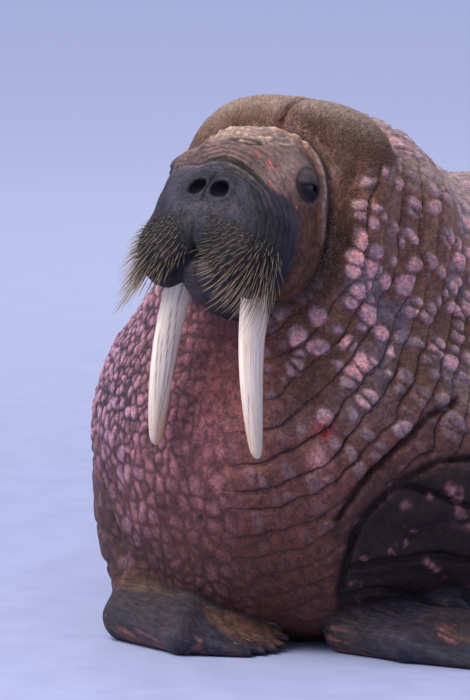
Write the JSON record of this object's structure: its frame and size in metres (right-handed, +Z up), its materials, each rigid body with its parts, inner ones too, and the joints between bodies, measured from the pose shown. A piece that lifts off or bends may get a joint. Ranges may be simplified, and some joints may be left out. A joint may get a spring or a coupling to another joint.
{
  "type": "walrus",
  "caption": "Bull walrus at life size, sitting up with its head raised, long tusks hanging in front of a lumpy chest and webbed flippers flat on the floor.",
  "frame": {"origin": "the point of the floor under the middle of the chest, between the foreflippers' wrists", "axes": "+Z up, the animal looks along -Y, so its own left side is +X"},
  "size_m": [1.368, 3.1171, 1.2882],
  "materials": {
    "face": "matte, finely wrinkled",
    "hide": "matte, lumpy",
    "flipper": "satin",
    "ivory": "satin",
    "eye": "wet gloss"
  },
  "bodies": {
    "root": {"head": "face", "muzzle": "face", "lower_jaw": "face", "eye_left": "eye", "eye_right": "eye", "tusk_left": "ivory", "tusk_right": "ivory", "neck": "hide", "chest": "hide", "torso": "hide", "hindquarters": "hide", "tail": "hide", "foreleg_left": "hide", "foreleg_right": "hide", "foreflipper_left": "flipper", "foreflipper_right": "flipper", "hindflipper_left": "flipper", "hindflipper_right": "flipper"}
  },
  "joints": []
}
